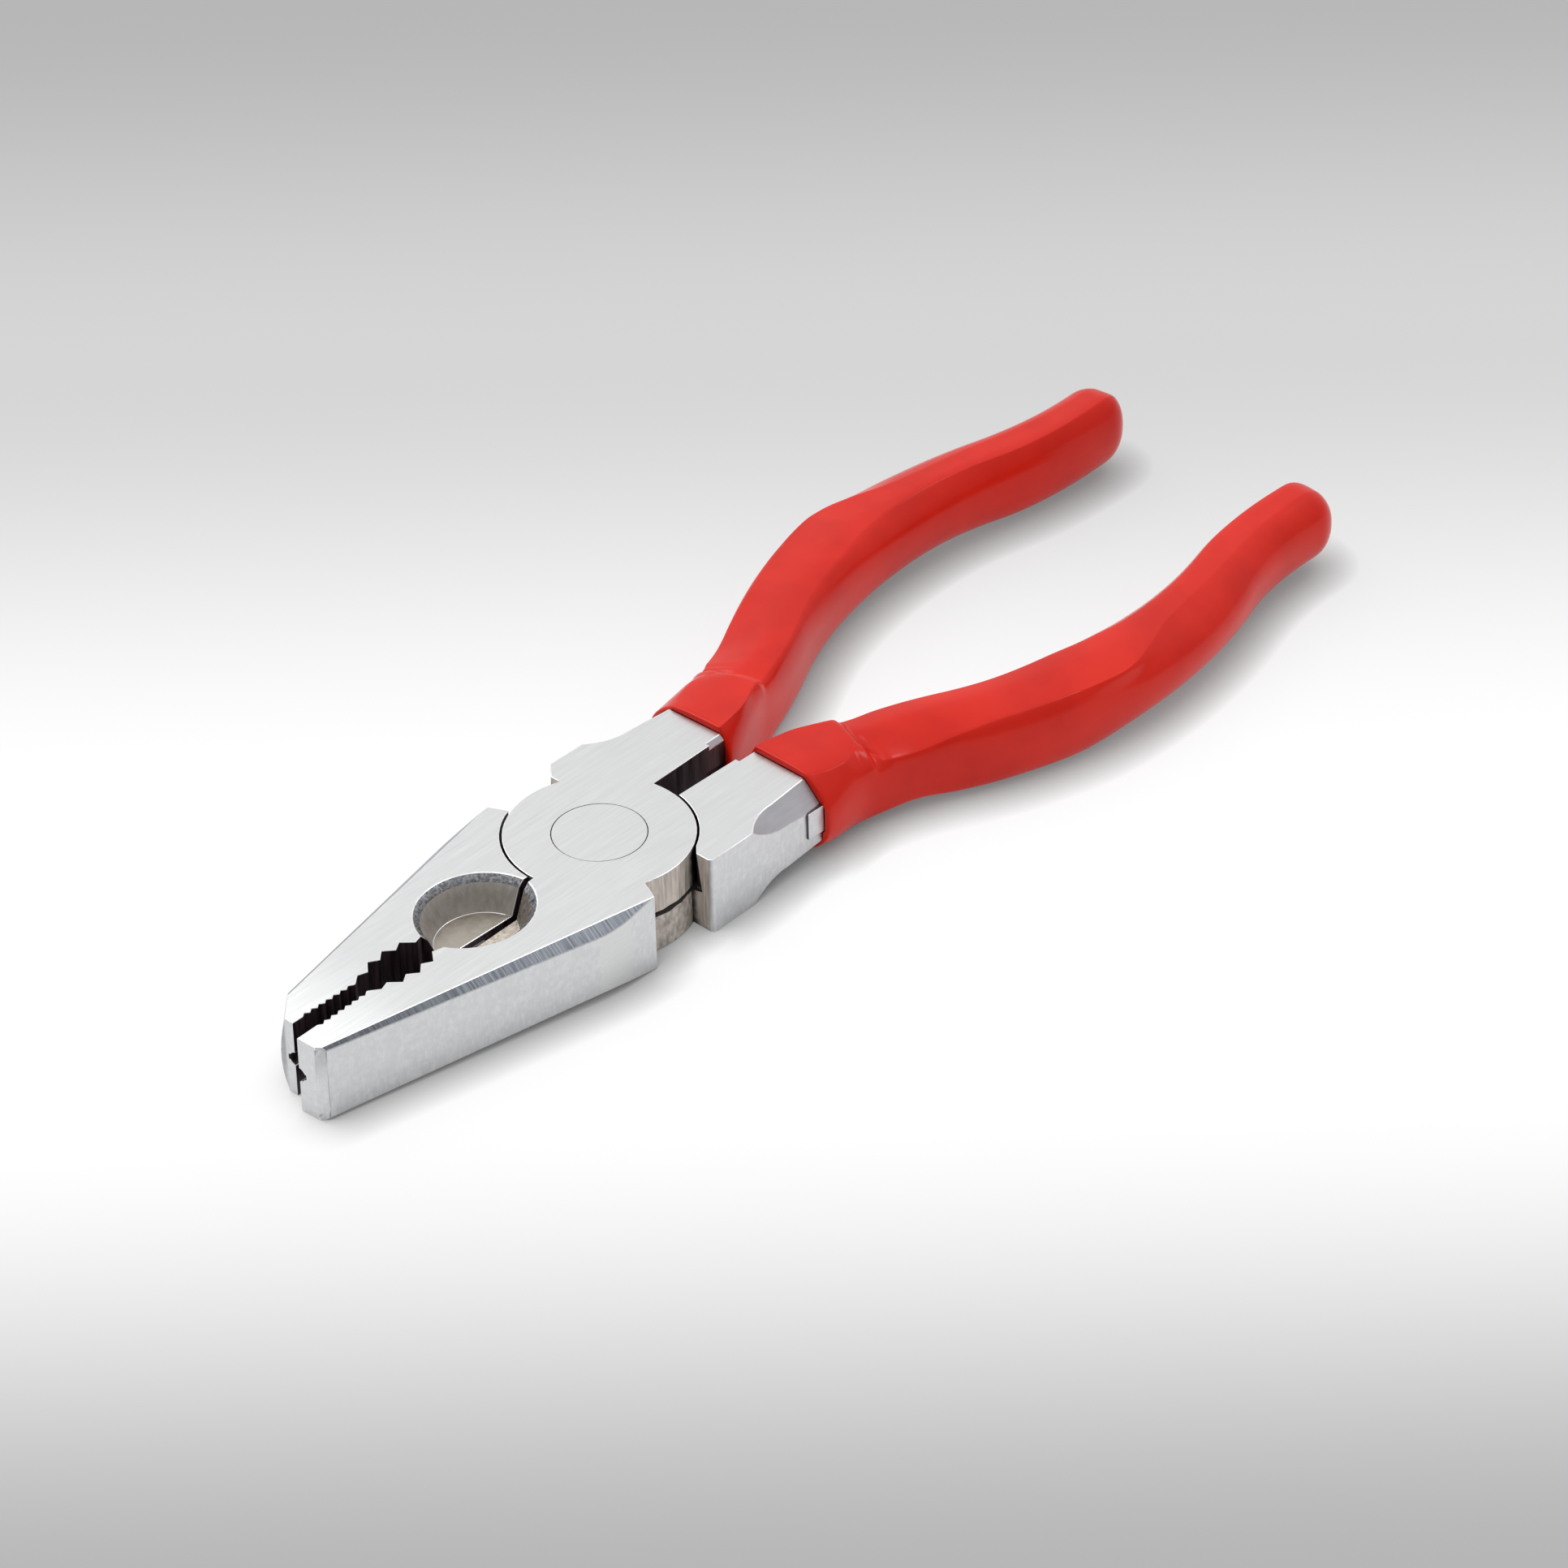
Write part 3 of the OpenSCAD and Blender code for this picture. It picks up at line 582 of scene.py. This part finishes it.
# a dipped grip along its length s from the mouth; its mouth and bends give (x, y, heading) and (length, turn)
grip = {
    "mouth": (26.0, 8.3, 6.0), "bends": ((25.0, 20.0), (50.5, -43.5), (24.0, 23.0)),
    "endL": 5.0, "lobeL": 11.0, "bellyS": 50.25, "tailS": 87.5,
    "lobeW": 7.4, "neckW": 5.4, "bellyW": 6.1, "tailW": 4.5, "outerTrim": 0.0,
    "mouthZ": 6.15, "rise": 0.6,  # height of the mouth's middle, and how far the middle climbs to the belly
    # edges of the top face, from the middle line
    "outerFlat": ((0, 3.4), (3, 4.2), (6, 4.1), (8.0, 3.1), (9.5, 1.9), (10.5, 0.9), (11.0, 0.9), (11.7, 2.6),
                  (12.4, 4.2), (14, 4.8), (22, 4.8), (30, 4.4), (40, 4.7), (47, 4.95), (50, 4.5), (54, 3.1),
                  (60, 1.1), (66, 0.5), (82, 0.9), (99.5, 0.7)),
    "innerFlat": ((0, 5.7), (4.5, 5.6), (8, 4.8), (10, 4.2), (11.5, 3.8), (13, 3.8), (16, 4.1), (33, 3.7),
                  (42, 3.8), (50, 3.2), (65, 3.0), (77, 3.1), (85, 2.8), (95, 2.4), (99.5, 2.3)),
    # height of the crest, and how far the top face's edges lie below it
    "top": ((0, 12.3), (9.9, 12.3), (10.4, 12.2), (11.0, 11.72), (11.5, 11.55), (12.4, 11.6), (14.5, 11.66),
            (30, 11.85), (50, 12.12), (99.5, 12.12)),
    "outerDrop": ((0, 0.3), (3, 0.5), (8, 0.5), (10.4, 0.35), (11.6, 1.0), (13.2, 1.55), (17, 1.75),
                  (24, 1.0), (31, 0.45), (48, 0.45), (54, 0.2), (60, 0.06), (99.5, 0.06)),
    "innerDrop": ((0, 0.0), (9, 0.0), (13, 0.3), (30, 0.3), (50, 0.12), (99.5, 0.1)),
    # how full the side walls are: a higher number bulges more
    "outerRound": ((0, 1.06), (6, 1.12), (8.6, 1.3), (10.0, 2.2), (10.9, 3.1), (11.6, 2.5), (12.4, 1.7),
                   (13.4, 1.25), (20, 1.35), (30, 1.3), (40, 1.12), (47, 1.04), (58, 1.06), (64, 1.25),
                   (75, 1.4), (99.5, 1.6)),
    "innerRound": ((0, 1.08), (7.5, 1.2), (9.5, 1.8), (11.3, 2.7), (13, 2.3), (16, 1.8), (30, 1.6),
                   (50, 1.35), (56, 1.08), (92, 1.1), (99.5, 1.4)),
    "wallPower": 2.4, "calm": ((7.0, 13.5), (45.0, 65.0)),  # the underside skips the stops in these stretches
    "grooveFrom": 0.55, "grooveRun": 0.4,  # how high up the walls the neck groove begins
    # where the crest lies across the top face, and how fast the top falls from it to either edge
    "crest": 0.35, "innerFall": 1.8, "outerFall": (3.0, 1.5), "fallFrom": 9.0, "fallRun": 4.0,
    # the mouth: its rounded lip, its least wall, the seam round the steel and the pad's lower edge
    "lip": 0.28, "lipSteps": (0.0, 0.04, 0.12, 0.28), "mouthHalf": 6.5, "mouthCentre": (-0.3, headT / 2),
    "mouthWall": 0.1, "seam": 0.16, "seamDepth": 0.5, "padLow": 4.7,
    # how finely the mesh is divided round a section and along the grip
    "wallSteps": 16, "topSteps": 18, "step": 0.55, "fineStep": 0.16, "fine": (8, 15), "endGap": 0.3,
    "endSteps": 14, "sharpAngle": 40,
}
# the far grip's lobe is trimmed at its outer edge
farGrip = {**grip, "outerTrim": 0.6, "outerFlat": ((0, 2.4), (3, 3.3), (6, 3.6)) + grip["outerFlat"][3:],
           "padLow": 2.7}
# the shank that a grip's mouth closes on, with a pad on either side
shank = {"outer": 6.0, "inner": 6.5, "bevel": 3.0, "corner": 0.7, "pad": 0.45, "padH": 4.0}


def gripLine(s, shape):
    x, y, heading = shape["mouth"]
    for k, (length, turn) in enumerate(shape["bends"]):
        part = s if k == len(shape["bends"]) - 1 else min(s, length)
        a = math.radians(turn * part / length)
        r = length / math.radians(turn)
        start = math.radians(heading)
        x += r * (math.sin(start + a) - math.sin(start))
        y -= r * (math.cos(start + a) - math.cos(start))
        heading += math.degrees(a)
        s -= part
        if s <= 0:
            break
    return x, y, heading


# half a section, from the outer wall over the top to the inner wall; the neck groove stays near the top
def gripHalf(s, shape, w, zc, neck):
    def at(name, grooved=neck):
        stops = shape[name]
        if not grooved:
            stops = [stop for stop in stops if not any(between(stop[0], calm) for calm in shape["calm"])]
        return along(s, stops)

    def wall(side, w):
        low, high = ((at(side + "Flat", grooved), at(side + "Round", grooved)) for grooved in (False, neck))
        points = []
        for k in range(shape["wallSteps"]):
            u = math.sin(math.pi / 2 * k / shape["wallSteps"])
            bow = 1 - u ** shape["wallPower"]
            reach = [flat + (w - flat) * bow ** (1 / curve) for flat, curve in (low, high)]
            points.append((mix(*reach, (u - shape["grooveFrom"]) / shape["grooveRun"]), u))
        return points

    top = at("top") - zc
    outer, inner = at("outerFlat"), at("innerFlat")
    outerZ, innerZ = top - at("outerDrop"), top - at("innerDrop")
    trim = mix(shape["outerTrim"], 0.0, s / shape["lobeL"])
    half = [(q, outerZ * u) for q, u in wall("outer", w - trim)]
    outerFall = mix(*shape["outerFall"], (s - shape["fallFrom"]) / shape["fallRun"])
    crest = (outer - inner) / 2 - shape["crest"] * (outer + inner) / 2
    for k in range(shape["topSteps"] + 1):
        q = outer - (outer + inner) * k / shape["topSteps"]
        if q > crest:
            z = top - (top - outerZ) * ((q - crest) / (outer - crest)) ** outerFall
        else:
            z = top - (top - innerZ) * ((crest - q) / (crest + inner)) ** shape["innerFall"]
        half.append((q, z))
    half += [(-q, innerZ * u) for q, u in reversed(wall("inner", w))]
    return half


# the height of a section's middle, and its points round that
def gripSection(s, shape):
    lobeL, bellyS, tailS = shape["lobeL"], shape["bellyS"], shape["tailS"]
    if s < lobeL:
        w = mix(shape["lobeW"], shape["neckW"], s / lobeL)
    elif s < bellyS:
        w = mix(shape["neckW"], shape["bellyW"], (s - lobeL) / (bellyS - lobeL))
    else:
        w = mix(shape["bellyW"], shape["tailW"], (s - bellyS) / (tailS - bellyS))
    zc = shape["mouthZ"] + mix(0.0, shape["rise"], (s - lobeL) / (bellyS - lobeL))
    upper = gripHalf(s, shape, w, zc, True)
    under = gripHalf(s, shape, w, zc, False)
    return zc, upper + [(q, -z) for q, z in reversed(under[1:-1])]


# sections stand closer at the lip, the neck and the end
def gripPlaces(shape, length):
    places = list(shape["lipSteps"])
    while places[-1] < length - shape["endL"] - shape["endGap"]:
        s = places[-1]
        places.append(s + (shape["fineStep"] if between(s, shape["fine"]) else shape["step"]))
    steps = shape["endSteps"]
    places += [length - shape["endL"] * (1 - math.sin(math.pi / 2 * k / steps)) for k in range(1, steps)]
    return sorted(places)


# a section shrinks towards the round end and at the lip
def gripShrink(s, shape, length):
    if s < shape["lip"]:
        inset = shape["lip"] * (1 - math.sqrt(max(0.0, 1 - (1 - s / shape["lip"]) ** 2)))
        return 1 - inset / shape["mouthHalf"]
    past = max(0.0, s - (length - shape["endL"])) / shape["endL"]
    return math.sqrt(max(0.0, 1 - past ** 2))


def shankOutline(steel, padLow):
    outer, inner, bevel, corner, pad = (steel[key] for key in ("outer", "inner", "bevel", "corner", "pad"))
    padHigh = padLow + steel["padH"]
    return [(outer, bevel), (outer, padLow), (outer + pad, padLow), (outer + pad, padHigh), (outer, padHigh),
            (outer, headT - bevel), (outer - bevel, headT), (corner - inner, headT), (-inner, headT - corner),
            (-inner, padHigh), (-inner - pad, padHigh), (-inner - pad, padLow), (-inner, padLow),
            (-inner, corner), (corner - inner, 0.0), (outer - bevel, 0.0)]


# where the mouth's edge meets the steel: the steel's outline and a seam, one point for each point of the ring
def mouthOpening(outline, ring, shape):
    midX, midY = shape["mouthCentre"]
    tiny = 1e-6

    def polar(p):
        return math.atan2(p[1] - midY, p[0] - midX)

    def reach(p):
        return math.hypot(p[0] - midX, p[1] - midY)

    def onOutline(angle):
        dx, dy = math.cos(angle), math.sin(angle)
        best = 0.0
        for a, b in zip(outline, outline[1:] + outline[:1]):
            ax, ay = a[0] - midX, a[1] - midY
            runX, runY = b[0] - a[0], b[1] - a[1]
            cross = dx * runY - dy * runX
            if abs(cross) < tiny:
                continue
            t = (ax * runY - ay * runX) / cross
            u = (ax * dy - ay * dx) / cross
            if t > 0 and -tiny <= u <= 1 + tiny:
                best = max(best, t)
        return best

    angles = [polar(p) for p in ring]
    radii = [onOutline(angle) + shape["seam"] for angle in angles]
    for corner in outline:  # corners stay sharp: the nearest point takes each one's place
        gaps = [abs(math.remainder(polar(corner) - a, 2 * math.pi)) for a in angles]
        i = gaps.index(min(gaps))
        angles[i], radii[i] = polar(corner), reach(corner) + shape["seam"]
    radii = [min(r, reach(p) - shape["mouthWall"]) for r, p in zip(radii, ring)]
    return [(midX + r * math.cos(a), midY + r * math.sin(a)) for r, a in zip(radii, angles)]


# side is the sign of y on the handle
def gripPiece(node, body, side, shape):
    length = sum(run for run, turn in shape["bends"])
    opened = Matrix.Rotation(math.radians(side * restTurn), 3, "Z")
    bm = bmesh.new()

    def point(s, q, z, square=False):
        x, y, heading = gripLine(s, shape)
        a = 0.0 if square else math.radians(heading * ease(s / shape["lobeL"]))
        v = Vector((x - q * math.sin(a), y + q * math.cos(a), z))
        if side < 0:
            v.y = -v.y
        return bm.verts.new(opened @ v * mm)

    rings = []
    for s in gripPlaces(shape, length):
        zc, section = gripSection(s, shape)
        k = gripShrink(s, shape, length)
        rings.append([point(s, q * k, zc + z * k) for q, z in section])
    count = len(rings[0])
    for a, b in zip(rings, rings[1:]):
        for i in range(count):
            bm.faces.new((a[i], a[(i + 1) % count], b[(i + 1) % count], b[i]))
    tip = point(length, 0, gripSection(length, shape)[0])
    for i in range(count):
        bm.faces.new((rings[-1][i], rings[-1][(i + 1) % count], tip))
    # the mouth: a flat ring, a thin seam round the steel and its floor
    k = gripShrink(0, shape, length)
    zc, section = gripSection(0, shape)
    ring = [(q * k, zc + z * k) for q, z in section]
    opening = mouthOpening(shankOutline(shank, shape["padLow"]), ring, shape)
    front = [point(0, q, z, True) for q, z in opening]
    deep = [point(shape["seamDepth"], q, z, True) for q, z in opening]
    middle = point(shape["seamDepth"], *shape["mouthCentre"], True)
    for i in range(count):
        n = (i + 1) % count
        bm.faces.new((rings[0][n], rings[0][i], front[i], front[n]))
        bm.faces.new((front[n], front[i], deep[i], deep[n]))
        bm.faces.new((deep[n], deep[i], middle))
    low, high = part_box(node)
    for vert in bm.verts:
        vert.co = [min(max(c, a), b) for c, a, b in zip(vert.co, low, high)]
    bmesh.ops.recalc_face_normals(bm, faces=bm.faces)
    for face in bm.faces:
        face.smooth = True
    mesh = meshFrom(bm, node + "Skin", shape["sharpAngle"])
    newPiece(mesh, body, (redSkin,), node)
    print("grip:", node, len(mesh.polygons), "faces")


gripPiece("upper_lever_grip", "upper", 1, farGrip)
gripPiece("lower_lever_grip", "lower", -1, grip)

# studio in metres: a pale sheet on the bench, a soft sky and two lamps
studio = {
    "sheet": ((-0.135, 0.46), (-0.040, 1.0), (0.020, 1.0), (0.13, 0.655), (0.235, 0.46)),  # (place, grey)
    "sheetAlong": (0.726, 0.688, 0.0), "sheetSize": 3.0, "sheetRoughness": 0.9, "sheetGlow": 0.85,
    "shadeReach": 0.0060, "shadeTowards": (-0.30, 0.50, 0.81),
    "skyLow": 0.25, "skyHigh": 0.95, "skyTowards": (0.25, 0.35, 0.90), "skyFrom": -0.4, "skyTo": 0.9,
    "lamps": ({"at": (0.0, 0.75, 1.0), "size": 0.8, "power": 5.0},
              {"at": (0.55, -0.22, 0.9), "size": 0.26, "power": 1.3}),
}


def makeSheet(setup):
    bpy.ops.mesh.primitive_grid_add(x_subdivisions=4, y_subdivisions=4, size=setup["sheetSize"])
    sheet = bpy.context.object
    sheet.name = "benchSheet"
    material, tree, shader = newMaterial("benchSheet")
    wire(tree, setup["sheetRoughness"], shader.inputs["Roughness"])
    wire(tree, 0.0, shader.inputs["Specular IOR Level"])
    run = vectorNode(tree, "DOT_PRODUCT", onObject(tree), setup["sheetAlong"], "Value")
    low, high = setup["sheet"][0][0], setup["sheet"][-1][0]
    greys = place(tree, "ShaderNodeValToRGB")
    wire(tree, rangeNode(tree, run, low, high, curve="LINEAR"), greys.inputs["Fac"])
    ramp = greys.color_ramp
    ramp.interpolation = "EASE"
    while len(ramp.elements) < len(setup["sheet"]):
        ramp.elements.new(0.5)
    for element, (at, grey) in zip(ramp.elements, setup["sheet"]):
        element.position = (at - low) / (high - low)
        element.color = (grey, grey, grey, 1.0)
    wire(tree, greys.outputs["Color"], shader.inputs["Base Color"])
    # what the camera and reflections see is mostly the sheet's own colour, with a painted shadow: dimmed
    # close to the tool, most where the tool stands towards shadeTowards
    aoShade = place(tree, "ShaderNodeAmbientOcclusion", samples=16)
    towards = place(tree, "ShaderNodeCombineXYZ")
    for value, socket in zip(setup["shadeTowards"], towards.inputs):
        wire(tree, value, socket)
    wire(tree, towards.outputs[0], aoShade.inputs["Normal"])
    wire(tree, setup["shadeReach"], aoShade.inputs["Distance"])
    wire(tree, greys.outputs["Color"], aoShade.inputs["Color"])
    glow = place(tree, "ShaderNodeEmission")
    wire(tree, aoShade.outputs["Color"], glow.inputs["Color"])
    rays = place(tree, "ShaderNodeLightPath").outputs
    seen = mathNode(tree, "ADD", rays["Is Camera Ray"], rays["Is Glossy Ray"], clamp=True)
    both = place(tree, "ShaderNodeMixShader")
    wire(tree, mathNode(tree, "MULTIPLY", seen, setup["sheetGlow"]), both.inputs["Fac"])
    wire(tree, shader.outputs[0], both.inputs[1])
    wire(tree, glow.outputs[0], both.inputs[2])
    wire(tree, both.outputs[0], tree.nodes["Material Output"].inputs["Surface"])
    sheet.data.materials.append(material)


def makeSky(setup):
    world = bpy.data.worlds.new("softSky")
    bpy.context.scene.world = world
    world.use_nodes = True
    tree = world.node_tree
    direction = place(tree, "ShaderNodeTexCoord").outputs["Generated"]
    facing = vectorNode(tree, "DOT_PRODUCT", direction, setup["skyTowards"], "Value")
    level = rangeNode(tree, facing, setup["skyFrom"], setup["skyTo"], setup["skyLow"], setup["skyHigh"])
    sky = tree.nodes["Background"]
    wire(tree, (1.0, 1.0, 1.0), sky.inputs["Color"])
    wire(tree, level, sky.inputs["Strength"])


def makeLamp(spec):
    data = bpy.data.lights.new("softLamp", "AREA")
    data.energy = spec["power"]
    data.size = spec["size"]
    lamp = bpy.data.objects.new("softLamp", data)
    bpy.context.collection.objects.link(lamp)
    lamp.location = spec["at"]
    lamp.rotation_euler = (-Vector(spec["at"])).to_track_quat("-Z", "Y").to_euler()


makeSheet(studio)
makeSky(studio)
for spec in studio["lamps"]:
    makeLamp(spec)
print("studio done")

camera = {"at": (-0.57407, -0.57653, 0.60550), "right": (0.67510, -0.73736, -0.02351),
          "up": (0.44482, 0.38144, 0.81036), "back": (-0.58855, -0.55754, 0.58550),
          "lens": 181.09, "sensor": 36.0, "clip": 0.01}


def makeCamera(view):
    data = bpy.data.cameras.new("benchCamera")
    data.lens = view["lens"]
    data.sensor_width = view["sensor"]
    data.clip_start = view["clip"]
    eye = bpy.data.objects.new("benchCamera", data)
    bpy.context.collection.objects.link(eye)
    turn = Matrix((view["right"], view["up"], view["back"])).transposed().to_4x4()
    eye.matrix_world = Matrix.Translation(view["at"]) @ turn
    bpy.context.scene.camera = eye


makeCamera(camera)
bpy.context.scene.view_settings.view_transform = "Standard"
